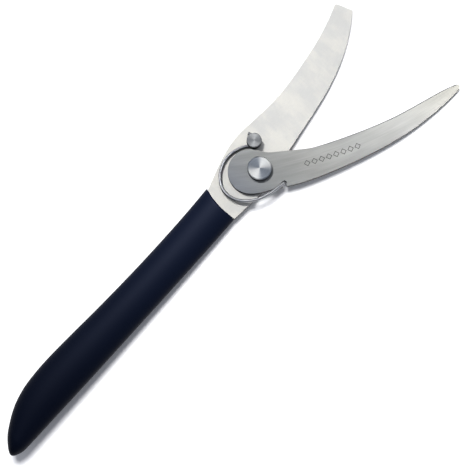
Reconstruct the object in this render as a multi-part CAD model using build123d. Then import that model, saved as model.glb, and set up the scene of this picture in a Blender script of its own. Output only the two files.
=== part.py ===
from build123d import *
import os
from math import cos, hypot, radians, sin, sqrt, tan

# One-handed poultry shears, millimetres.
# Frame: origin on the pivot axis, in the flat rear face of the pivot; +X along the tool from
# the grip to the blade tips; +Z along the pivot axis towards its turned head.  The swing blade
# rests open on its stop, to the -Y side, and closes towards +Y.

# ---- Levels along the pivot axis ----
NUT_THICK = 2.6
SPRING_WASHER_HIGH = 0.4
PLATE_THICK = 2.5
SWING_THICK = 2.5
BLADE_GAP = 0.05
HEAD_GAP = 0.05
HEAD_HIGH = 2.8
PLATE_LOW = NUT_THICK + SPRING_WASHER_HIGH
PLATE_TOP = PLATE_LOW + PLATE_THICK
SWING_LOW = PLATE_TOP + BLADE_GAP
SWING_TOP = SWING_LOW + SWING_THICK
HEAD_LOW = SWING_TOP + HEAD_GAP
HEAD_TOP = HEAD_LOW + HEAD_HIGH

# ---- Pivot ----
HEAD_R = 6.4
HEAD_CHAMFER = 0.5
SHANK_R = 3.5
SHANK_FLAT = 2.9
THREAD_R = 2.5
RUNNING_FIT = 0.05
NUT_R = 5.6
NUT_CHAMFER = 0.4
WASHER_R = 5.0
WASHER_THICK = 0.25
WASHER_PLAY = 0.1
SPANNER_HOLE_R = 0.8
SPANNER_HOLE_DEEP = 1.5
SPANNER_HOLE_AT = 4.0

# ---- Spring stud, which is also the opening stop ----
STUD_X = 9.4
STUD_Y = 12.2
STUD_TAIL_R = 1.6
STUD_RIVET_R = 2.4
STUD_RIVET_HIGH = 0.3
STUD_NECK_R = 2.1
STUD_NECK_HIGH = 1.95
STUD_CAP_R = 3.95
STUD_CAP_HIGH = 3.05
STUD_CHAMFER = 0.35

# ---- Swing blade ----
HEEL_X = -3.8
HEEL_Y = 2.7
STOP_GAP = 0.25
HEEL_R = hypot(STUD_X - HEEL_X, STUD_Y - HEEL_Y) - STUD_CAP_R - STOP_GAP
HEEL_START = 31.0
HEEL_END = 225.0
SWING_EDGE = [
    (8.1, 5.4),
    (14.3, -1.5),
    (22.2, -8.5),
    (33.1, -15.7),
    (48.8, -24.2),
    (69.7, -33.7),
    (92.8, -41.5),
]
SWING_EDGE_RUN = (1.0, -0.5)
SWING_EDGE_PULL = (1.0, 1.0)
SWING_TIP = [(103.2, -45.6), (104.2, -47.8), (102.6, -49.3)]
SWING_BACK = [
    (85.1, -48.1),
    (64.1, -44.0),
    (41.3, -36.2),
    (20.3, -26.9),
    (4.9, -18.1),
    (-2.2, -13.0),
    (-8.4, -9.1),
]
SWING_BACK_RUN = (-1.0, 0.0)
EDGE_START = 0.18
BEVEL_WIDE = 1.0
BEVEL_LAND = 0.1
BEVEL_STEPS = 12
BEVEL_FADE = 0.17
BEVEL_OVER = 0.08
BEVEL_OUTSIDE = 0.15
BEVEL_CLEAR = 8.0
BEVEL_BEYOND = 3.0
NOTCH_X = 3.2
NOTCH_Y = -14.5
NOTCH_R = 1.3
NOTCH_MOUTH = 2.2
NOTCH_TURN = 227.0
NOTCH_REACH = 5.0

# ---- Fixed blade and its tang ----
SHOULDER_R = 29.0
SHOULDER_UP = 153.3
SHOULDER_DOWN = -164.7
SPINE = [(-11.9, 17.7), (2.6, 20.9), (20.8, 20.2), (36.0, 19.5), (56.9, 21.5), (78.0, 25.4)]
SPINE_END = (95.4, 31.1)
TIP_END = (98.8, 21.6)
FIXED_EDGE = [(30.1, -2.4), (50.5, 1.0), (69.8, 6.1), (86.6, 13.6)]
EDGE_ROOT = (19.4, -4.2)
TANG_UNDER = [(4.0, -7.6), (-9.0, -8.9)]
TANG_JOIN = (-17.5, -8.3)
TANG_JOIN_RUN = (-1.0, 0.08)
TIP_ROUND = 0.9
LAND = 1.2
TANG_IN_LOW = -4.4
TANG_IN_HIGH = 10.0
TANG_END_X = -116.0
TANG_END_Y = 2.4
TANG_END_R = 4.3
LOCK_HOLE_R = 2.6
LOCK_HOLES = 3
LOCK_FIRST_X = -45.0
LOCK_PITCH = 25.0
LOCK_SLOPE = 0.006

# ---- Grip: edges and thickness along its length, drawn in to a round end ----
GRIP_LOW = [(-20, -7.3), (-45, -7.9), (-77, -8.3), (-108, -8.5), (-139, -8.7), (-200, -8.6)]
GRIP_HIGH = [
    (-20, 14.5),
    (-45, 13.3),
    (-77, 12.9),
    (-108, 13.5),
    (-132, 14.5),
    (-150, 14.9),
    (-163, 14.1),
    (-171, 12.5),
    (-178, 10.0),
    (-186, 5.6),
    (-200, -4.0),
]
GRIP_THICK = [
    (-20, 12.4),
    (-45, 13.2),
    (-77, 14.0),
    (-108, 14.6),
    (-150, 15.0),
    (-170, 14.4),
    (-185, 12.4),
    (-200, 9.6),
]
GRIP_MID = PLATE_LOW + PLATE_THICK / 2
GRIP_FRONT_X = -20.0
GRIP_LONG = 175.8
GRIP_TALL = 40.0
GRIP_STEPS = 18
CAP_START_X = -188.0
CAP_LONG = 8.1
COVER_THICK = 1.8
CORE_STEPS = 13
CORE_FRONT_R = SHOULDER_R + 2.0

# ---- Return spring ----
WIRE_R = 0.85
WIRE_GAP = 0.1
BEND_SHARE = 0.47
LOOP_R = 3.0
LOOP_FROM = 16.5
LOOP_TO = -160.0
LOOP_CORNERS = 3
LOOP_Z = PLATE_TOP + WIRE_GAP + WIRE_R
TAIL_LONG = 4.85
LIP_Z = SWING_TOP + WIRE_GAP + WIRE_R
ARC_CORNERS = [
    (5.35, 14.2, LOOP_Z),
    (-4.6, 17.9, LOOP_Z + 0.1),
    (-14.7, 15.1, LOOP_Z + 0.4),
    (-21.3, 7.8, LOOP_Z + 0.9),
    (-21.3, -0.9, LOOP_Z + 1.4),
    (-16.0, -8.4, LOOP_Z + 2.0),
    (-7.8, -12.6, LIP_Z),
]
LEG_GAP = 0.05
LEG_X = NOTCH_X - NOTCH_R + WIRE_R + LEG_GAP
LEG_Y = NOTCH_Y - LEG_GAP
LEG_SHORT = 0.35
LEG_END_Z = SWING_LOW + LEG_SHORT
LEG_BEND_R = 1.0


def polar(radius, angle):
    """Point at a radius and an angle in degrees about the pivot axis."""
    return (radius * cos(radians(angle)), radius * sin(radians(angle)))


def on_circle(cx, cy, radius, angle):
    """Point at a radius and an angle in degrees about a centre."""
    return (cx + radius * cos(radians(angle)), cy + radius * sin(radians(angle)))


def disc(x, y, radius, low, high):
    """Round plate or pin between two levels."""
    return Pos(x, y, low) * Cylinder(radius, high - low, align=(Align.CENTER, Align.CENTER, Align.MIN))


def slab(outline, low, high):
    """Plate of the closed outline between two levels."""
    return Pos(0, 0, low) * extrude(make_face(outline), high - low)


def double_d(radius, flat, low, high):
    """Shank with two flats, square to Y."""
    flats = Pos(0, 0, (low + high) / 2) * Box(4 * flat, 2 * flat, high - low)
    return disc(0, 0, radius, low, high) & flats


def beside(line, share, aside, level):
    """Point beside a line at a share of its length, on its left where aside is positive."""
    along = (line % share).normalized()
    return line @ share + Vector(-along.Y * aside, along.X * aside, level)


def edge_bevel(line, first, inward, edge_level, face_level):
    """Wedge along a cutting edge: no width at the edge's level and full width at the face's.

    The line runs from root to tip, inward is +1 where the blade lies on its left, and the
    bevel fades in from the share of the line where it starts."""
    far = Vector(0, -inward * BEVEL_CLEAR, 0)
    sections = []
    for rise in (-BEVEL_OVER, 1 + BEVEL_OVER):
        level = edge_level + (face_level - edge_level) * rise
        points = []
        for i in range(BEVEL_STEPS + 1):
            share = i / BEVEL_STEPS
            fade = min(share / BEVEL_FADE, 1.0)
            inset = BEVEL_WIDE * rise * fade - BEVEL_OUTSIDE * (1 - fade)
            points.append(beside(line, first + (1 - first) * share, inward * inset, level))
        beyond = points[-1] + (line % 1).normalized() * BEVEL_BEYOND
        outline = [
            Spline(*points),
            Polyline(points[-1], beyond, beyond + far, points[0] + far, points[0]),
        ]
        sections.append(make_face(outline))
    return loft(sections, ruled=True)


def fixed_edge_line():
    """Cutting edge of the fixed blade, from its root to its tip."""
    return Spline(EDGE_ROOT, *FIXED_EDGE, TIP_END)


def fixed_outline():
    """Outline of the fixed blade, its shoulder at the grip and its tang."""
    up = polar(SHOULDER_R, SHOULDER_UP)
    down = polar(SHOULDER_R, SHOULDER_DOWN)
    step_down = (-sqrt(SHOULDER_R**2 - TANG_IN_LOW**2), TANG_IN_LOW)
    step_up = (-sqrt(SHOULDER_R**2 - TANG_IN_HIGH**2), TANG_IN_HIGH)
    spine = Spline(up, *SPINE, SPINE_END)
    edge = fixed_edge_line()
    under = Spline(EDGE_ROOT, *TANG_UNDER, TANG_JOIN, tangents=[-(edge % 0), TANG_JOIN_RUN])
    end_low = (TANG_END_X, TANG_END_Y - TANG_END_R)
    end_high = (TANG_END_X, TANG_END_Y + TANG_END_R)
    end_mid = (TANG_END_X - TANG_END_R, TANG_END_Y)
    return [
        spine,
        Line(SPINE_END, TIP_END),
        edge,
        under,
        Line(TANG_JOIN, down),
        RadiusArc(down, step_down, SHOULDER_R),
        Line(step_down, end_low),
        ThreePointArc(end_low, end_mid, end_high),
        Line(end_high, step_up),
        RadiusArc(step_up, up, SHOULDER_R),
    ]


def lock_hole_places():
    """Centres of the holes that key the grip to the tang."""
    return [
        (LOCK_FIRST_X - i * LOCK_PITCH, TANG_END_Y - LOCK_SLOPE * i)
        for i in range(LOCK_HOLES)
    ]


def fixed_blade():
    """Upper blade and tang in one piece, flat, with the cutting bevel on its rear face."""
    blade = slab(fixed_outline(), PLATE_LOW, PLATE_TOP)
    tip_edges = [
        e for e in blade.edges().filter_by(Axis.Z)
        if e.center().X > SPINE_END[0] - TIP_ROUND
    ]
    blade = fillet(tip_edges, TIP_ROUND)
    blade -= edge_bevel(fixed_edge_line(), 0.0, 1, PLATE_TOP - LAND, PLATE_LOW)
    blade -= double_d(SHANK_R, SHANK_FLAT, PLATE_LOW, PLATE_TOP)
    blade -= disc(STUD_X, STUD_Y, STUD_TAIL_R, PLATE_LOW, PLATE_TOP)
    for x, y in lock_hole_places():
        blade -= disc(x, y, LOCK_HOLE_R, PLATE_LOW, PLATE_TOP)
    return blade


def swing_lines():
    """Heel, cutting edge, round tip and back of the swing blade."""
    start = on_circle(HEEL_X, HEEL_Y, HEEL_R, HEEL_START)
    middle = on_circle(HEEL_X, HEEL_Y, HEEL_R, (HEEL_START + HEEL_END) / 2)
    end = on_circle(HEEL_X, HEEL_Y, HEEL_R, HEEL_END)
    heel = ThreePointArc(end, middle, start)
    runs = [heel % 1, SWING_EDGE_RUN]
    edge = Spline(start, *SWING_EDGE, SWING_TIP[0], tangents=runs, tangent_scalars=SWING_EDGE_PULL)
    tip = ThreePointArc(*SWING_TIP)
    back = Spline(SWING_TIP[2], *SWING_BACK, end, tangents=[SWING_BACK_RUN, heel % 0])
    return heel, edge, tip, back


def notch_cut():
    """Round seat with a straight mouth to the blade's back edge."""
    seat = disc(NOTCH_X, NOTCH_Y, NOTCH_R, SWING_LOW, SWING_TOP)
    mouth = Pos(NOTCH_REACH / 2, 0, 0) * Box(NOTCH_REACH, NOTCH_MOUTH, SWING_THICK)
    middle = (SWING_LOW + SWING_TOP) / 2
    return seat + Pos(NOTCH_X, NOTCH_Y, middle) * Rot(0, 0, NOTCH_TURN) * mouth


def swing_blade():
    """Lower blade, turning on the bolt, with an eccentric heel and a notch for the spring."""
    heel, edge, tip, back = swing_lines()
    blade = slab([heel, edge, tip, back], SWING_LOW, SWING_TOP)
    blade -= edge_bevel(edge, EDGE_START, -1, SWING_LOW + BEVEL_LAND, SWING_TOP)
    blade -= disc(0, 0, SHANK_R + RUNNING_FIT, SWING_LOW, SWING_TOP)
    return blade - notch_cut()


def pivot_bolt():
    """Turned head, round bearing shank, two flats in the plate and a threaded end."""
    head = disc(0, 0, HEAD_R, HEAD_LOW, HEAD_TOP)
    head = chamfer(head.edges().sort_by(Axis.Z)[-1], HEAD_CHAMFER)
    bearing = disc(0, 0, SHANK_R, PLATE_TOP, HEAD_LOW)
    flats = double_d(SHANK_R, SHANK_FLAT, PLATE_LOW, PLATE_TOP)
    return head + bearing + flats + disc(0, 0, THREAD_R, 0, PLATE_LOW)


def pivot_nut():
    """Round nut with two spanner holes in its rear face."""
    nut = disc(0, 0, NUT_R, 0, NUT_THICK)
    nut = chamfer(nut.edges().sort_by(Axis.Z)[0], NUT_CHAMFER)
    nut -= disc(0, 0, THREAD_R, 0, NUT_THICK)
    for side in (-1, 1):
        nut -= disc(side * SPANNER_HOLE_AT, 0, SPANNER_HOLE_R, 0, SPANNER_HOLE_DEEP)
    return nut


def spring_washer():
    """Dished disc spring between the nut and the plate."""
    profile = Polyline(
        (THREAD_R + WASHER_PLAY, 0, NUT_THICK),
        (WASHER_R, 0, PLATE_LOW - WASHER_THICK),
        (WASHER_R, 0, PLATE_LOW),
        (THREAD_R + WASHER_PLAY, 0, NUT_THICK + WASHER_THICK),
        close=True,
    )
    return revolve(make_face(profile), Axis.Z)


def spring_stud():
    """Riveted stud: a neck for the wire under a thick round cap."""
    cap_low = PLATE_TOP + STUD_NECK_HIGH
    cap = disc(STUD_X, STUD_Y, STUD_CAP_R, cap_low, cap_low + STUD_CAP_HIGH)
    cap = chamfer(cap.edges().sort_by(Axis.Z)[-1], STUD_CHAMFER)
    neck = disc(STUD_X, STUD_Y, STUD_NECK_R, PLATE_TOP, cap_low)
    tail = disc(STUD_X, STUD_Y, STUD_TAIL_R, PLATE_LOW, PLATE_TOP)
    rivet = disc(STUD_X, STUD_Y, STUD_RIVET_R, PLATE_LOW - STUD_RIVET_HIGH, PLATE_LOW)
    return cap + neck + tail + rivet


def spring_corners():
    """Corners of the wire's route, from its tail at the stud to its leg in the notch."""
    step = (LOOP_TO - LOOP_FROM) / LOOP_CORNERS
    corner_r = LOOP_R / cos(radians(step / 2))
    leave = on_circle(STUD_X, STUD_Y, LOOP_R, LOOP_FROM)
    tail = on_circle(*leave, TAIL_LONG, LOOP_FROM + 90)
    points = [(*tail, LOOP_Z)]
    for i in range(LOOP_CORNERS):
        points.append((*on_circle(STUD_X, STUD_Y, corner_r, LOOP_FROM + (i + 0.5) * step), LOOP_Z))
    points += ARC_CORNERS
    points.append((LEG_X, LEG_Y, LIP_Z))
    points.append((LEG_X, LEG_Y, LEG_END_Z))
    return [Vector(*p) for p in points]


def corner_radii(points):
    """Largest smooth bend at each corner of the route."""
    radii = []
    for before, here, after in zip(points, points[1:], points[2:]):
        run_in = here - before
        run_out = after - here
        turn = radians(run_in.get_angle(run_out))
        shorter = min(run_in.length, run_out.length)
        radii.append(BEND_SHARE * shorter / tan(turn / 2))
    return radii


def return_spring():
    """Sprung wire, hooked round the stud and over the swing blade's lip into its notch."""
    points = spring_corners()
    radii = corner_radii(points)
    radii[-1] = LEG_BEND_R
    path = FilletPolyline(*points, radius=radii)
    section = Plane(path @ 0, z_dir=path % 0) * Circle(WIRE_R)
    return sweep(section, path)


def smooth(x, table):
    """Value at x on a smooth curve through the table, which runs towards -X."""
    slopes = []
    for i in range(len(table)):
        before = table[max(i - 1, 0)]
        after = table[min(i + 1, len(table) - 1)]
        slopes.append((after[1] - before[1]) / (after[0] - before[0]))
    i = max(k for k in range(len(table) - 1) if table[k][0] >= x)
    (x0, y0), (x1, y1) = table[i], table[i + 1]
    span = x1 - x0
    t = (x - x0) / span
    bend0 = span * slopes[i] * t * (1 - t) ** 2
    bend1 = span * slopes[i + 1] * t**2 * (t - 1)
    return y0 * (1 + 2 * t) * (1 - t) ** 2 + y1 * t**2 * (3 - 2 * t) + bend0 + bend1


def grip_section(x, inset):
    """Oval section of the grip at x, drawn in by an inset."""
    low = smooth(x, GRIP_LOW)
    high = smooth(x, GRIP_HIGH)
    past = max(CAP_START_X - x, 0.0) / CAP_LONG
    cap = sqrt(1 - past**2)
    plane = Plane((x, (low + high) / 2, GRIP_MID), x_dir=(0, 1, 0), z_dir=(1, 0, 0))
    return plane * Ellipse(cap * (high - low) / 2 - inset, cap * smooth(x, GRIP_THICK) / 2 - inset)


def grip_loft(inset, steps):
    """Oval body from the front of the grip, with sections that close up towards its end."""
    shares = [i / GRIP_STEPS for i in range(steps + 1)]
    places = [GRIP_FRONT_X - GRIP_LONG * sin(radians(90 * share)) for share in shares]
    return loft([grip_section(x, inset) for x in places])


def grip_bore(radius):
    """Tall cylinder about the pivot axis."""
    return disc(0, 0, radius, GRIP_MID - GRIP_TALL / 2, GRIP_MID + GRIP_TALL / 2)


def grip_core():
    """Hard inner moulding, keyed to the tang through its lock holes."""
    body = grip_loft(COVER_THICK, CORE_STEPS) - grip_bore(CORE_FRONT_R)
    return body - slab(fixed_outline(), PLATE_LOW, PLATE_TOP) + lock_posts()


def lock_posts():
    """Posts of the core that fill the tang's lock holes."""
    posts = [disc(x, y, LOCK_HOLE_R, PLATE_LOW, PLATE_TOP) for x, y in lock_hole_places()]
    return Part() + posts


def grip_cover():
    """Soft outer moulding with a hollow front that follows the pivot."""
    body = grip_loft(0, GRIP_STEPS) - grip_bore(SHOULDER_R)
    body -= grip_loft(COVER_THICK, CORE_STEPS) - grip_bore(CORE_FRONT_R)
    return body - slab(fixed_outline(), PLATE_LOW, PLATE_TOP)


PARTS = {
    "fixed_blade": fixed_blade,
    "swing_blade": swing_blade,
    "pivot_bolt": pivot_bolt,
    "pivot_nut": pivot_nut,
    "spring_washer": spring_washer,
    "spring_stud": spring_stud,
    "return_spring": return_spring,
    "grip_core": grip_core,
    "grip_cover": grip_cover,
}

os.makedirs("parts", exist_ok=True)
for name, build in PARTS.items():
    export_step(build(), f"parts/{name}.step")
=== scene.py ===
from math import cos, pi, radians, sin, sqrt

import bpy
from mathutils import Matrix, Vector


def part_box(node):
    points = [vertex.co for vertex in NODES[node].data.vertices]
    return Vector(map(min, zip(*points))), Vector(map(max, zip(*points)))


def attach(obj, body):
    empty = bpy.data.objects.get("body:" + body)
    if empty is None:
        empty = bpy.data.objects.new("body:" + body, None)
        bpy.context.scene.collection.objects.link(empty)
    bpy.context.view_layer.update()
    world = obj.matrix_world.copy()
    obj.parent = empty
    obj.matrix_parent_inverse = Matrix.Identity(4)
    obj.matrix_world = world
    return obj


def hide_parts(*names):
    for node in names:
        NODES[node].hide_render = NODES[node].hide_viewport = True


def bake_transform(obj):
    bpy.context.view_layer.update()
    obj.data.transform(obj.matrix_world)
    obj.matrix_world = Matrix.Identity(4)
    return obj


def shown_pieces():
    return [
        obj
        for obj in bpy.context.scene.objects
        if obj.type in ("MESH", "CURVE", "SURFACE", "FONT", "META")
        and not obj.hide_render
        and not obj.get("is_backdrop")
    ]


# One-handed poultry shears.  Lengths are millimetres until a mesh or a lamp is made.
MM = 0.001

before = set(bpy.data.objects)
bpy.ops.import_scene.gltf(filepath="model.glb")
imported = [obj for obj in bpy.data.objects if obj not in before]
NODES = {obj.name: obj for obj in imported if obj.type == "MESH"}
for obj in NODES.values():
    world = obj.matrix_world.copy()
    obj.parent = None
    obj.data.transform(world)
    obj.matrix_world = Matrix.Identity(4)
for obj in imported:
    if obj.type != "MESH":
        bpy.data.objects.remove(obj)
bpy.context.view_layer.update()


# ---- Camera, floor and light ----
CAMERA_AZIMUTH = radians(-48.17)
CAMERA_ELEVATION = radians(77.0)
CAMERA_DISTANCE = 1162.0
CAMERA_AIM = Vector((-36.84, -14.01, 8.05))
CAMERA_LENS = 169.65

FLOOR_HALF = 6.0  # metres
FLOOR_UP = Vector((-0.0449, 0.0324, 0.9985))
FLOOR_GAP = 0.02

# Each lamp: kind, azimuth, elevation, distance in metres and settings.
LAMPS = {
    "key": ("SUN", 152.0, 76.0, 2.0, {"energy": 4.1, "angle": radians(21)}),
    "sheen": ("AREA", 136.0, 62.0, 0.58, {"energy": 7.2, "size": 0.12}),
    "glint": ("SUN", 168.0, 62.0, 2.0, {"energy": 1.45, "angle": radians(10)}),
    "softbox": ("AREA", 131.8, 77.0, 2.3, {"energy": 5.0, "size": 3.4}),
}
# Surround, from the horizon to the zenith.
AMBIENT = [
    (0.00, (0.09, 0.10, 0.12)),
    (0.15, (0.14, 0.15, 0.18)),
    (0.38, (0.48, 0.49, 0.52)),
    (0.70, (0.36, 0.375, 0.42)),
    (1.00, (0.33, 0.35, 0.41)),
]


def towards(azimuth, elevation):
    """Unit vector from the tool to a place at that azimuth and elevation."""
    return Vector((sin(azimuth) * cos(elevation), -cos(azimuth) * cos(elevation), sin(elevation)))


def add_camera():
    """Long lens, high above the tool, with the grip towards the lower left."""
    data = bpy.data.cameras.new("camera")
    data.lens = CAMERA_LENS
    camera = bpy.data.objects.new("camera", data)
    bpy.context.collection.objects.link(camera)
    back = towards(CAMERA_AZIMUTH, CAMERA_ELEVATION)
    camera.location = (CAMERA_AIM + back * CAMERA_DISTANCE) * MM
    camera.rotation_mode = "QUATERNION"
    camera.rotation_quaternion = (-back).to_track_quat("-Z", "Y")
    bpy.context.scene.camera = camera


def add_lamp(kind, name, direction, distance, **settings):
    """Lamp on one side of the tool, pointing at it."""
    data = bpy.data.lights.new(name, kind)
    for key, value in settings.items():
        setattr(data, key, value)
    lamp = bpy.data.objects.new(name, data)
    bpy.context.collection.objects.link(lamp)
    lamp.location = direction * distance
    lamp.rotation_mode = "QUATERNION"
    lamp.rotation_quaternion = (-direction).to_track_quat("-Z", "Y")
    return lamp


def only_lights(lamp, pieces):
    """Limits a lamp to some pieces.  Every piece still casts its shadow."""
    lit = bpy.data.collections.new(lamp.name + "_lit")
    for piece in pieces:
        lit.objects.link(piece)
    lamp.light_linking.receiver_collection = lit


def add_lamps(floor, grip, metal):
    """Soft lamps overhead, each for the floor, the grip or the metal."""
    for lit, name in ((floor, "key"), (grip, "sheen"), (metal, "glint"), (metal, "softbox")):
        kind, azimuth, elevation, far, settings = LAMPS[name]
        side = towards(radians(azimuth), radians(elevation))
        only_lights(add_lamp(kind, name, side, far, **settings), lit)


def add_surround():
    """Dim, cool light from all round, and white paper behind the tool for the camera."""
    world = bpy.data.worlds.new("studio")
    world.use_nodes = True
    tree = world.node_tree
    tree.nodes.clear()
    out = tree.nodes.new("ShaderNodeOutputWorld")
    path = tree.nodes.new("ShaderNodeLightPath")
    choose = tree.nodes.new("ShaderNodeMixShader")
    surround = tree.nodes.new("ShaderNodeBackground")
    where = tree.nodes.new("ShaderNodeTexCoord")
    height = tree.nodes.new("ShaderNodeSeparateXYZ")
    fade = tree.nodes.new("ShaderNodeValToRGB")
    elements = fade.color_ramp.elements
    while len(elements) < len(AMBIENT):
        elements.new(0.5)
    for element, (place, colour) in zip(elements, AMBIENT):
        element.position = place
        element.color = (*colour, 1)
    tree.links.new(where.outputs["Generated"], height.inputs[0])
    tree.links.new(height.outputs[2], fade.inputs[0])
    tree.links.new(fade.outputs[0], surround.inputs["Color"])
    paper = tree.nodes.new("ShaderNodeBackground")
    paper.inputs["Color"].default_value = (1, 1, 1, 1)
    tree.links.new(path.outputs["Is Camera Ray"], choose.inputs[0])
    tree.links.new(surround.outputs[0], choose.inputs[1])
    tree.links.new(paper.outputs[0], choose.inputs[2])
    tree.links.new(choose.outputs[0], out.inputs["Surface"])
    bpy.context.scene.world = world


def new_object(name, verts, faces, smooth=True):
    """Mesh object from points in millimetres."""
    mesh = bpy.data.meshes.new(name)
    mesh.from_pydata([Vector(v) * MM for v in verts], [], faces)
    mesh.validate()
    if smooth:
        mesh.shade_smooth()
    else:
        mesh.shade_flat()
    made = bpy.data.objects.new(name, mesh)
    bpy.context.collection.objects.link(made)
    return made


def floor_height(normal):
    """How far along the floor's normal the object's lowest point lies, in metres."""
    heights = []
    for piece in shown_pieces():
        heights += [normal.dot(piece.matrix_world @ v.co) for v in piece.data.vertices]
    return min(heights)


def add_floor(material):
    """Plain pale table that the object lies on."""
    normal = FLOOR_UP.normalized()
    turn = normal.to_track_quat("Z", "Y")
    height = floor_height(normal) / MM - FLOOR_GAP
    side = FLOOR_HALF / MM
    corners = [(x, y, height) for x, y in ((-side, -side), (side, -side), (side, side), (-side, side))]
    floor = new_object("floor", [turn @ Vector(c) for c in corners], [(0, 1, 2, 3)], smooth=False)
    floor.data.materials.append(material)
    floor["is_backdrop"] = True
    return floor


# ---- Shader graphs ----
BEVEL_SAMPLES = 4
WALL_FROM = 0.75
WALL_FULL = 0.45


class Graph:
    """Node tree of one material, with short calls that add a node and return its output."""

    def __init__(self, name):
        self.material = bpy.data.materials.new(name)
        self.material.use_nodes = True
        self.tree = self.material.node_tree
        self.tree.nodes.clear()
        self.place = self.scaled(self.node("ShaderNodeTexCoord").outputs["Object"], (1 / MM,) * 3)

    def node(self, kind, **settings):
        made = self.tree.nodes.new(kind)
        for key, value in settings.items():
            setattr(made, key, value)
        return made

    def feed(self, socket, value):
        """Links an output to a socket, or sets the socket to a constant."""
        if isinstance(value, bpy.types.NodeSocket):
            self.tree.links.new(value, socket)
        elif hasattr(socket.default_value, "__len__") and len(value) < len(socket.default_value):
            socket.default_value = (*value, 1)
        else:
            socket.default_value = value

    def math(self, operation, *values, clamp=False):
        made = self.node("ShaderNodeMath", operation=operation, use_clamp=clamp)
        for socket, value in zip(made.inputs, values):
            self.feed(socket, value)
        return made.outputs[0]

    def vector(self, operation, *values):
        made = self.node("ShaderNodeVectorMath", operation=operation)
        for socket, value in zip(made.inputs, values):
            self.feed(socket, value)
        return made.outputs["Value" if operation in ("LENGTH", "DOT_PRODUCT") else "Vector"]

    def scaled(self, vector, factors):
        return self.vector("MULTIPLY", vector, factors)

    def parts(self, vector):
        made = self.node("ShaderNodeSeparateXYZ")
        self.feed(made.inputs[0], vector)
        return made.outputs

    def joined(self, x, y, z):
        made = self.node("ShaderNodeCombineXYZ")
        for socket, value in zip(made.inputs, (x, y, z)):
            self.feed(socket, value)
        return made.outputs[0]

    def noise(self, vector, detail=3.0, roughness=0.55):
        """Noise between about 0.25 and 0.75, with a grain of one unit."""
        made = self.node("ShaderNodeTexNoise")
        self.feed(made.inputs["Vector"], vector)
        self.feed(made.inputs["Scale"], 1.0)
        self.feed(made.inputs["Detail"], detail)
        self.feed(made.inputs["Roughness"], roughness)
        return made.outputs[0]

    def between(self, value, low, high, to_low=0.0, to_high=1.0):
        """Smooth step of a value from one range to another."""
        made = self.node("ShaderNodeMapRange", interpolation_type="SMOOTHSTEP")
        for socket, part in zip(made.inputs, (value, low, high, to_low, to_high)):
            self.feed(socket, part)
        return made.outputs[0]

    def ramp(self, value, stops):
        """Colour along a list of (place, colour), for a value from 0 to 1."""
        made = self.node("ShaderNodeValToRGB")
        self.feed(made.inputs[0], value)
        elements = made.color_ramp.elements
        while len(elements) < len(stops):
            elements.new(0.5)
        for element, (place, colour) in zip(elements, stops):
            element.position = place
            element.color = (*colour, 1)
        return made.outputs[0]

    def mixed(self, share, first, second, blend="MIX"):
        made = self.node("ShaderNodeMix", data_type="RGBA", blend_type=blend)
        self.feed(made.inputs[0], share)
        self.feed(made.inputs[6], first)
        self.feed(made.inputs[7], second)
        return made.outputs[2]

    def times(self, colour, factor):
        """Colour made lighter or darker by a number."""
        return self.mixed(1.0, colour, self.joined(factor, factor, factor), "MULTIPLY")

    def wall(self):
        """1 on faces that stand along the pivot axis, 0 on faces square to it."""
        up = self.parts(self.node("ShaderNodeTexCoord").outputs["Normal"])[2]
        return self.between(self.math("ABSOLUTE", up), WALL_FROM, WALL_FULL)

    def bump(self, height, depth):
        """Normal of a relief whose full depth is given in millimetres."""
        made = self.node("ShaderNodeBump")
        self.feed(made.inputs["Strength"], 1.0)
        self.feed(made.inputs["Distance"], depth * MM)
        self.feed(made.inputs["Height"], height)
        return made

    def worn(self, made, radius):
        """Rounds the normals at sharp edges under a bump."""
        edge = self.node("ShaderNodeBevel", samples=BEVEL_SAMPLES)
        self.feed(edge.inputs["Radius"], radius * MM)
        self.feed(made.inputs["Normal"], edge.outputs[0])
        return made.outputs[0]

    def around(self, x, y):
        """Distance and turn in radians about a line parallel to the pivot axis."""
        away = self.vector("SUBTRACT", self.place, (x, y, 0))
        dx, dy, _ = self.parts(away)
        flat = self.joined(dx, dy, 0.0)
        return self.vector("LENGTH", flat), self.math("ARCTAN2", dy, dx), flat

    def tangent(self, flat):
        """Direction square to an arm from a centre, for grinding that runs round it."""
        across = self.vector("NORMALIZE", self.vector("CROSS_PRODUCT", (0, 0, 1), flat))
        made = self.node("ShaderNodeVectorTransform", vector_type="VECTOR")
        made.convert_from, made.convert_to = "OBJECT", "WORLD"
        self.feed(made.inputs[0], across)
        return made.outputs[0]

    def surface(self, colour, roughness, normal, **constants):
        """Principled surface.  Constants go to its other sockets by name."""
        shader = self.node("ShaderNodeBsdfPrincipled")
        self.feed(shader.inputs["Base Color"], colour)
        self.feed(shader.inputs["Roughness"], roughness)
        self.feed(shader.inputs["Normal"], normal)
        for name, value in constants.items():
            self.feed(shader.inputs[name.replace("_", " ")], value)
        out = self.node("ShaderNodeOutputMaterial")
        self.tree.links.new(shader.outputs[0], out.inputs[0])
        return self.material


# ---- Materials ----
# A shade multiplies a colour: below 1 it darkens.
# Plate walls are darkened: partly their rougher cut steel, partly painted shade for the dark
# surroundings they reflect.
CUT_EDGE_AND_PAINTED_SHADE = 0.10

TANG_X = -25.0
TANG_SHADE = 0.88
BLADE_X = 40.0
BLADE_SHADE = 0.99
FIXED_LIGHT = (0.665, 0.65, 0.60)
FIXED_SHADE = (0.575, 0.57, 0.545)

# The swing blade curves about (ARC_X, ARC_Y); ARC_R runs along its middle.
ARC_X = 148.6
ARC_Y = 189.3
ARC_R = 243.0
SWING_START = -16.0
SWING_LONG = 120.0
LONG_EDGE_FROM = 3.0
LONG_EDGE_FULL = 9.0
LONG_EDGE_SHADE = 0.86
NECK_X = 20.0
NECK_END_X = 50.0
# Row of diamonds: its ends along the middle, and each diamond's pitch and half width.
ETCH_FROM = -520.3
ETCH_TO = -488.3
ETCH_STEP = 4.0
ETCH_HALF = 1.5
ETCH_LINE = 0.18
ETCH_SOFT = 0.06
ETCH_SHADE = 0.16
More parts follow.
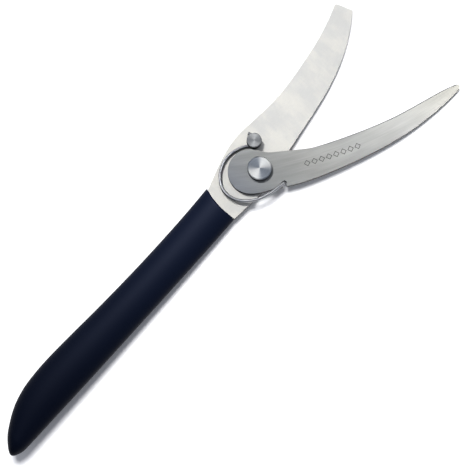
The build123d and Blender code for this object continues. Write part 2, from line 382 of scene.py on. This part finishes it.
# Painted shade: a dark ring on the blade round the wire's leg, for the shaded gap of its notch.
LEG_GAP_IN = 1.15
LEG_GAP_OUT = 1.55
LEG_GAP_PAINTED_SHADE = 0.06
SWING_TONES = [
    (0.00, (0.160, 0.170, 0.186)),
    (0.13, (0.226, 0.231, 0.227)),
    (0.30, (0.305, 0.305, 0.288)),
    (0.50, (0.405, 0.405, 0.386)),
    (0.72, (0.600, 0.596, 0.560)),
    (1.00, (0.710, 0.690, 0.610)),
]


HEAD_R = 6.4
CAP_R = 4.1
NUT_R = 5.0
# A painted highlight runs round the rim of each turned top.
RIM_FROM = 0.55
RIM_FULL = 0.35
RIM_PAINTED_HIGHLIGHT = 1.45
# Painted shade on the side walls of the turned parts.
TURNED_FLANK_PAINTED_SHADE = 0.05

GRIP_REAR_X = -190.0
GRIP_FRONT_X = -20.0
# Painted light: the grip's colour runs from a painted shade at the rear to a painted light at the
# front.
GRIP_REAR_PAINTED_SHADE = (0.0008, 0.0016, 0.0050)
GRIP_FRONT_PAINTED_LIGHT = (0.0020, 0.0036, 0.0100)
GRIP_SPECULAR = 0.06
GRIP_SHEEN = (0.62, 0.70, 1.0)


def paper_white():
    g = Graph("paper_white")
    grain = g.noise(g.scaled(g.place, (0.4,) * 3))
    colour = g.ramp(grain, [(0.0, (0.90, 0.90, 0.91)), (1.0, (0.93, 0.93, 0.93))])
    normal = g.bump(grain, 0.01).outputs[0]
    return g.surface(colour, 0.9, normal, Specular_IOR_Level=0.0)


def fixed_steel():
    """Satin sheet steel: cross-ground, with faint blotches; its cut edges are darker, partly their own
    rougher steel and partly painted shade.
    """
    g = Graph("satin_steel")
    along = g.parts(g.place)[0]
    blotch = g.noise(g.scaled(g.place, (0.085, 0.05, 0.05)), 4.0)
    cross = g.noise(g.scaled(g.place, (0.9, 0.05, 0.1)), 4.0)
    grain = g.noise(g.scaled(g.place, (0.6, 9.0, 0.6)), 2.0)
    tone = g.math("MULTIPLY_ADD", cross, 0.2, g.math("MULTIPLY", blotch, 0.8))
    colour = g.ramp(g.between(tone, 0.38, 0.62), [(0.0, FIXED_SHADE), (1.0, FIXED_LIGHT)])
    colour = g.times(colour, g.between(grain, 0.2, 0.8, 0.95, 1.04))
    colour = g.times(colour, g.between(along, TANG_X, BLADE_X, TANG_SHADE, BLADE_SHADE))
    # Painted shade, together with the cut steel's own darkness, on the plate's walls.
    colour = g.times(colour, g.between(g.wall(), 0.0, 1.0, 1.0, CUT_EDGE_AND_PAINTED_SHADE))
    roughness = g.between(cross, 0.25, 0.75, 0.52, 0.56)
    normal = g.worn(g.bump(grain, 0.002), 0.15)
    return g.surface(colour, roughness, normal, Metallic=1.0)


def etched_row(g, beside, turn):
    """1 on a row of small outlined diamonds along the blade, a plain stand-in for its mark."""
    run = g.math("MULTIPLY", turn, ARC_R)
    cell = g.math("FRACT", g.math("DIVIDE", g.math("SUBTRACT", run, ETCH_FROM), ETCH_STEP))
    across = g.math("MULTIPLY", g.math("ABSOLUTE", g.math("SUBTRACT", cell, 0.5)), ETCH_STEP)
    size = g.math("ADD", across, beside)
    off_line = g.math("ABSOLUTE", g.math("SUBTRACT", size, ETCH_HALF))
    line = g.between(off_line, ETCH_LINE + ETCH_SOFT, ETCH_LINE)
    begun = g.math("GREATER_THAN", run, ETCH_FROM)
    inside = g.math("MULTIPLY", begun, g.math("LESS_THAN", run, ETCH_TO))
    return g.math("MULTIPLY", line, inside)


def swing_steel():
    """Brushed steel, ground along the blade's curve, bluish and dark at the heel."""
    g = Graph("brushed_steel")
    far, turn, flat = g.around(ARC_X, ARC_Y)
    along = g.parts(g.place)[0]
    share = g.math("DIVIDE", g.math("ADD", along, -SWING_START), SWING_LONG)
    fine = g.joined(g.math("MULTIPLY", far, 3.2), g.math("MULTIPLY", turn, 9.0), 0.0)
    streak = g.noise(fine, 3.0, 0.7)
    broad = g.joined(g.math("MULTIPLY", far, 0.22), g.math("MULTIPLY", turn, 7.0), 3.0)
    band = g.noise(broad, 2.0)
    colour = g.ramp(share, SWING_TONES)
    colour = g.times(colour, g.between(streak, 0.25, 0.75, 0.90, 1.09))
    colour = g.times(colour, g.between(band, 0.3, 0.7, 0.90, 1.08))
    beside = g.math("ABSOLUTE", g.math("SUBTRACT", far, ARC_R))
    outer = g.between(beside, LONG_EDGE_FROM, LONG_EDGE_FULL)
    outer = g.math("MULTIPLY", outer, g.between(along, NECK_X, NECK_END_X))
    colour = g.times(colour, g.between(outer, 0.0, 1.0, 1.0, LONG_EDGE_SHADE))
    colour = g.times(colour, g.between(etched_row(g, beside, turn), 0.0, 1.0, 1.0, ETCH_SHADE))
    # Painted shade, together with the cut steel's own darkness, on the blade's walls.
    colour = g.times(colour, g.between(g.wall(), 0.0, 1.0, 1.0, CUT_EDGE_AND_PAINTED_SHADE))
    # Painted shade of the notch's gap round the wire's leg.
    from_leg = g.around(*LEG)[0]
    colour = g.times(colour, g.between(from_leg, LEG_GAP_IN, LEG_GAP_OUT, LEG_GAP_PAINTED_SHADE, 1.0))
    roughness = g.between(streak, 0.25, 0.75, 0.46, 0.54)
    normal = g.bump(streak, 0.003).outputs[0]
    return g.surface(
        colour, roughness, normal, Metallic=1.0, Anisotropic=0.3, Tangent=g.tangent(flat)
    )


def turned_steel_painted_highlights(name, x, y, radius, painted_highlight, painted_shade, axis):
    """Steel turned about its own axis: fine rings, painted highlights in two sectors with painted
    shade in the two between, and a painted highlight round the rim.
    """
    g = Graph(name)
    far, turn, flat = g.around(x, y)
    ring = g.noise(g.joined(g.math("MULTIPLY", far, 3.5), 0.0, 0.0), 2.0)
    # Painted highlight and painted shade in sectors, by the turn about the axis.
    highlight_lobes = g.math("COSINE", g.math("MULTIPLY", g.math("SUBTRACT", turn, axis), 2.0))
    colour = g.mixed(g.between(highlight_lobes, -0.7, 0.8), painted_shade, painted_highlight)
    colour = g.times(colour, g.between(ring, 0.3, 0.7, 0.90, 1.07))
    # Painted highlight round the rim.
    colour = g.times(colour, g.between(far, radius - RIM_FROM, radius - RIM_FULL, 1.0, RIM_PAINTED_HIGHLIGHT))
    # Painted shade on the side wall.
    colour = g.times(colour, g.between(g.wall(), 0.0, 1.0, 1.0, TURNED_FLANK_PAINTED_SHADE))
    normal = g.worn(g.bump(ring, 0.002), 0.12)
    return g.surface(
        colour, g.between(ring, 0.3, 0.7, 0.40, 0.46), normal,
        Metallic=1.0, Anisotropic=0.4, Tangent=g.tangent(flat),
    )


def wire_steel():
    g = Graph("drawn_wire")
    drawn = g.noise(g.scaled(g.place, (0.3, 0.3, 1.5)), 3.0)
    colour = g.ramp(drawn, [(0.25, (0.24, 0.25, 0.27)), (0.75, (0.34, 0.34, 0.34))])
    normal = g.worn(g.bump(drawn, 0.002), 0.1)
    return g.surface(colour, g.between(drawn, 0.3, 0.7, 0.34, 0.40), normal, Metallic=1.0)


def soft_touch():
    """Matt blue-black elastomer with a fine moulded grain."""
    g = Graph("soft_touch")
    along = g.parts(g.place)[0]
    grain = g.noise(g.scaled(g.place, (3.0,) * 3), 2.0)
    cloud = g.noise(g.scaled(g.place, (0.03, 0.06, 0.06)), 3.0)
    # Painted light: lighter towards the front, darker towards the rear.
    share = g.math("MULTIPLY_ADD", cloud, 0.25, g.between(along, GRIP_REAR_X, GRIP_FRONT_X))
    colour = g.ramp(share, [(0.1, GRIP_REAR_PAINTED_SHADE), (1.0, GRIP_FRONT_PAINTED_LIGHT)])
    normal = g.bump(grain, 0.012).outputs[0]
    roughness = g.between(grain, 0.3, 0.7, 0.51, 0.57)
    return g.surface(
        colour, roughness, normal, Specular_IOR_Level=GRIP_SPECULAR, Specular_Tint=GRIP_SHEEN
    )


def hard_nylon():
    g = Graph("hard_nylon")
    grain = g.noise(g.scaled(g.place, (1.5,) * 3), 2.0)
    colour = g.ramp(grain, [(0.2, (0.010, 0.011, 0.014)), (0.8, (0.020, 0.021, 0.024))])
    return g.surface(colour, g.between(grain, 0.3, 0.7, 0.4, 0.55), g.bump(grain, 0.02).outputs[0])


# ---- Grip ----
GRIP_LOW = [(-20, -7.3), (-45, -7.9), (-77, -8.3), (-108, -8.5), (-139, -8.7), (-200, -8.6)]
GRIP_HIGH = [
    (-20, 14.5), (-45, 13.3), (-77, 12.9), (-108, 13.5), (-132, 14.5), (-150, 14.9),
    (-163, 14.1), (-171, 12.5), (-178, 10.0), (-186, 5.6), (-200, -4.0),
]
GRIP_THICK = [
    (-20, 12.4), (-45, 13.2), (-77, 14.0), (-108, 14.6), (-150, 15.0), (-170, 14.4),
    (-185, 12.4), (-200, 9.6),
]
GRIP_MID = 4.25
GRIP_FRONT_R = 29.0
GRIP_RIM = 0.9
GRIP_CAP_START = -188.0
GRIP_ROUND = 96
GRIP_RINGS = 150
GRIP_RIM_RINGS = 5
GRIP_FACE_RINGS = 8


def smooth(x, table):
    """Value at x on a smooth curve through the table, which runs towards -X."""
    slopes = []
    for i in range(len(table)):
        before = table[max(i - 1, 0)]
        after = table[min(i + 1, len(table) - 1)]
        slopes.append((after[1] - before[1]) / (after[0] - before[0]))
    i = max(k for k in range(len(table) - 1) if table[k][0] >= x)
    (x0, y0), (x1, y1) = table[i], table[i + 1]
    span = x1 - x0
    t = (x - x0) / span
    bend0 = span * slopes[i] * t * (1 - t) ** 2
    bend1 = span * slopes[i + 1] * t**2 * (t - 1)
    return y0 * (1 + 2 * t) * (1 - t) ** 2 + y1 * t**2 * (3 - 2 * t) + bend0 + bend1


def grip_point(x, turn, inset, end_x):
    """Y and Z on the grip's oval section at x, drawn in by an inset."""
    low, high = smooth(x, GRIP_LOW), smooth(x, GRIP_HIGH)
    past = max(GRIP_CAP_START - x, 0.0) / (GRIP_CAP_START - end_x)
    cap = sqrt(max(1 - past**2, 0.0))
    wide = cap * (high - low) / 2 - inset
    tall = cap * smooth(x, GRIP_THICK) / 2 - inset
    return (low + high) / 2 + wide * cos(turn), GRIP_MID + tall * sin(turn)


def grip_front(turn, inset, end_x):
    """X of the hollow front, which follows the pivot, at a point of the oval."""
    x = -GRIP_FRONT_R
    for _ in range(6):
        y, _z = grip_point(x, turn, inset, end_x)
        x = -sqrt(GRIP_FRONT_R**2 - y**2)
    return x


def build_grip():
    """Soft handle: one closed skin with a rounded rim, a hollow front and a round end."""
    end_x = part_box("grip_cover")[0][0] / MM
    turns = [2 * pi * j / GRIP_ROUND for j in range(GRIP_ROUND)]
    rings = []
    for k in range(GRIP_FACE_RINGS):
        share = (k + 1) / (GRIP_FACE_RINGS + 1)
        ring = []
        for turn in turns:
            x = grip_front(turn, GRIP_RIM, end_x)
            y, z = grip_point(x, turn, GRIP_RIM, end_x)
            middle = (smooth(x, GRIP_LOW) + smooth(x, GRIP_HIGH)) / 2
            y, z = middle + (y - middle) * share, GRIP_MID + (z - GRIP_MID) * share
            ring.append((-sqrt(GRIP_FRONT_R**2 - y**2), y, z))
        rings.append(ring)
    for k in range(GRIP_RIM_RINGS):
        lean = pi / 2 * (1 - k / GRIP_RIM_RINGS)
        inset, back = GRIP_RIM * (1 - cos(lean)), GRIP_RIM * (1 - sin(lean))
        ring = []
        for turn in turns:
            x = grip_front(turn, inset, end_x) - back
            ring.append((x, *grip_point(x, turn, inset, end_x)))
        rings.append(ring)
    for k in range(GRIP_RINGS):
        share = sin(pi / 2 * k / GRIP_RINGS)
        ring = []
        for turn in turns:
            front = grip_front(turn, 0.0, end_x) - GRIP_RIM
            x = front + (end_x - front) * share
            ring.append((x, *grip_point(x, turn, 0.0, end_x)))
        rings.append(ring)
    verts = [p for ring in rings for p in ring]
    faces = []
    for k in range(len(rings) - 1):
        for j in range(GRIP_ROUND):
            a, b = k * GRIP_ROUND + j, k * GRIP_ROUND + (j + 1) % GRIP_ROUND
            faces.append((a, b, b + GRIP_ROUND, a + GRIP_ROUND))
    first, last = rings[0], rings[-1]
    for ring, base, flip in ((first, 0, True), (last, len(verts) - GRIP_ROUND, False)):
        centre = len(verts)
        verts.append(tuple(sum(p[i] for p in ring) / GRIP_ROUND for i in range(3)))
        for j in range(GRIP_ROUND):
            a, b = base + j, base + (j + 1) % GRIP_ROUND
            faces.append((b, a, centre) if flip else (a, b, centre))
    end = list(verts[-1])
    verts[-1] = (end_x, end[1], end[2])
    grip = new_object("grip_skin", verts, faces)
    grip.data.materials.append(soft_touch())
    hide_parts("grip_cover")
    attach(grip, "handle")
    return grip


# ---- Return spring ----
WIRE_R = 0.85
WIRE_SIDES = 5
STUD_X = 9.4
STUD_Y = 12.2
LOOP_R = 3.0
LOOP_FROM = 16.5
LOOP_TO = -160.0
LOOP_CORNERS = 4
LOOP_Z = 6.45
LIP_Z = 9.0
TAIL_LONG = 4.85
SPRING_ARC = [
    (5.35, 14.2, LOOP_Z),
    (-4.6, 17.9, LOOP_Z + 0.1),
    (-14.7, 15.1, LOOP_Z + 0.4),
    (-21.3, 7.8, LOOP_Z + 0.9),
    (-21.3, -0.9, LOOP_Z + 1.4),
    (-16.0, -8.4, LOOP_Z + 2.0),
    (-7.8, -12.6, LIP_Z),
]
LEG = (2.8, -14.55)
LEG_END_Z = 5.9
LEG_BEND = 0.7


def spring_route():
    """Control points of the wire, from its tail at the stud to its leg in the notch."""
    step = (LOOP_TO - LOOP_FROM) / LOOP_CORNERS
    corner_r = LOOP_R / cos(radians(step / 2))
    start = radians(LOOP_FROM)
    leave = Vector((STUD_X + LOOP_R * cos(start), STUD_Y + LOOP_R * sin(start), LOOP_Z))
    along = Vector((-sin(start), cos(start), 0))
    points = [leave + along * TAIL_LONG, leave + along * (TAIL_LONG / 2)]
    for i in range(LOOP_CORNERS):
        at = radians(LOOP_FROM + (i + 0.5) * step)
        points.append((STUD_X + corner_r * cos(at), STUD_Y + corner_r * sin(at), LOOP_Z))
    points += SPRING_ARC
    lip = Vector((*LEG, LIP_Z))
    run = (lip - Vector(SPRING_ARC[-1])).normalized()
    points += [lip - run * 2 * LEG_BEND, lip - run * LEG_BEND, lip, lip - Vector((0, 0, LEG_BEND))]
    points += [lip - Vector((0, 0, 2 * LEG_BEND)), Vector((*LEG, LEG_END_Z))]
    return points


def build_spring():
    """Wire of the return spring, from its stud on the fixed blade to its leg in the swing blade's
    notch.
    """
    curve = bpy.data.curves.new("spring_wire", "CURVE")
    curve.dimensions = "3D"
    curve.bevel_depth = WIRE_R * MM
    curve.bevel_resolution = WIRE_SIDES
    curve.use_fill_caps = True
    spline = curve.splines.new("NURBS")
    points = spring_route()
    spline.points.add(len(points) - 1)
    for point, place in zip(spline.points, points):
        point.co = (*[c * MM for c in place], 1)
    spline.order_u = 3
    spline.use_endpoint_u = True
    spline.resolution_u = 10
    drawn = bpy.data.objects.new("spring_curve", curve)
    bpy.context.collection.objects.link(drawn)
    bpy.context.view_layer.update()
    solved = drawn.evaluated_get(bpy.context.evaluated_depsgraph_get())
    mesh = bpy.data.meshes.new_from_object(solved)
    bpy.data.objects.remove(drawn)
    spring = bpy.data.objects.new("spring_wire", mesh)
    bpy.context.collection.objects.link(spring)
    mesh.shade_smooth()
    mesh.materials.clear()
    mesh.materials.append(wire_steel())
    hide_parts("return_spring")
    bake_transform(spring)
    return spring


# ---- Finish, floor and light ----
def dress(node, material):
    """Gives a CAD node its finish."""
    mesh = NODES[node].data
    mesh.materials.clear()
    mesh.materials.append(material)


dress("fixed_blade", fixed_steel())
dress("swing_blade", swing_steel())
# Each turned part: its painted highlight colour, its painted shade colour and the turn of its
# highlight sectors.
head = turned_steel_painted_highlights(
    "turned_head", 0.0, 0.0, HEAD_R, (0.40, 0.405, 0.40), (0.155, 0.172, 0.195), radians(-3)
)
cap = turned_steel_painted_highlights(
    "turned_cap", STUD_X, STUD_Y, CAP_R, (0.255, 0.26, 0.26), (0.165, 0.17, 0.175), radians(60)
)
nut = turned_steel_painted_highlights(
    "turned_nut", 0.0, 0.0, NUT_R, (0.52, 0.52, 0.52), (0.38, 0.39, 0.40), radians(40)
)
dress("pivot_bolt", head)
dress("spring_stud", cap)
dress("pivot_nut", nut)
dress("spring_washer", nut)
dress("grip_core", hard_nylon())
grip = build_grip()
spring = build_spring()
floor = add_floor(paper_white())
metal = [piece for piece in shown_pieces() if piece is not grip]
add_lamps([floor], [grip], metal)
add_surround()
bpy.context.scene.view_settings.view_transform = "Standard"
add_camera()
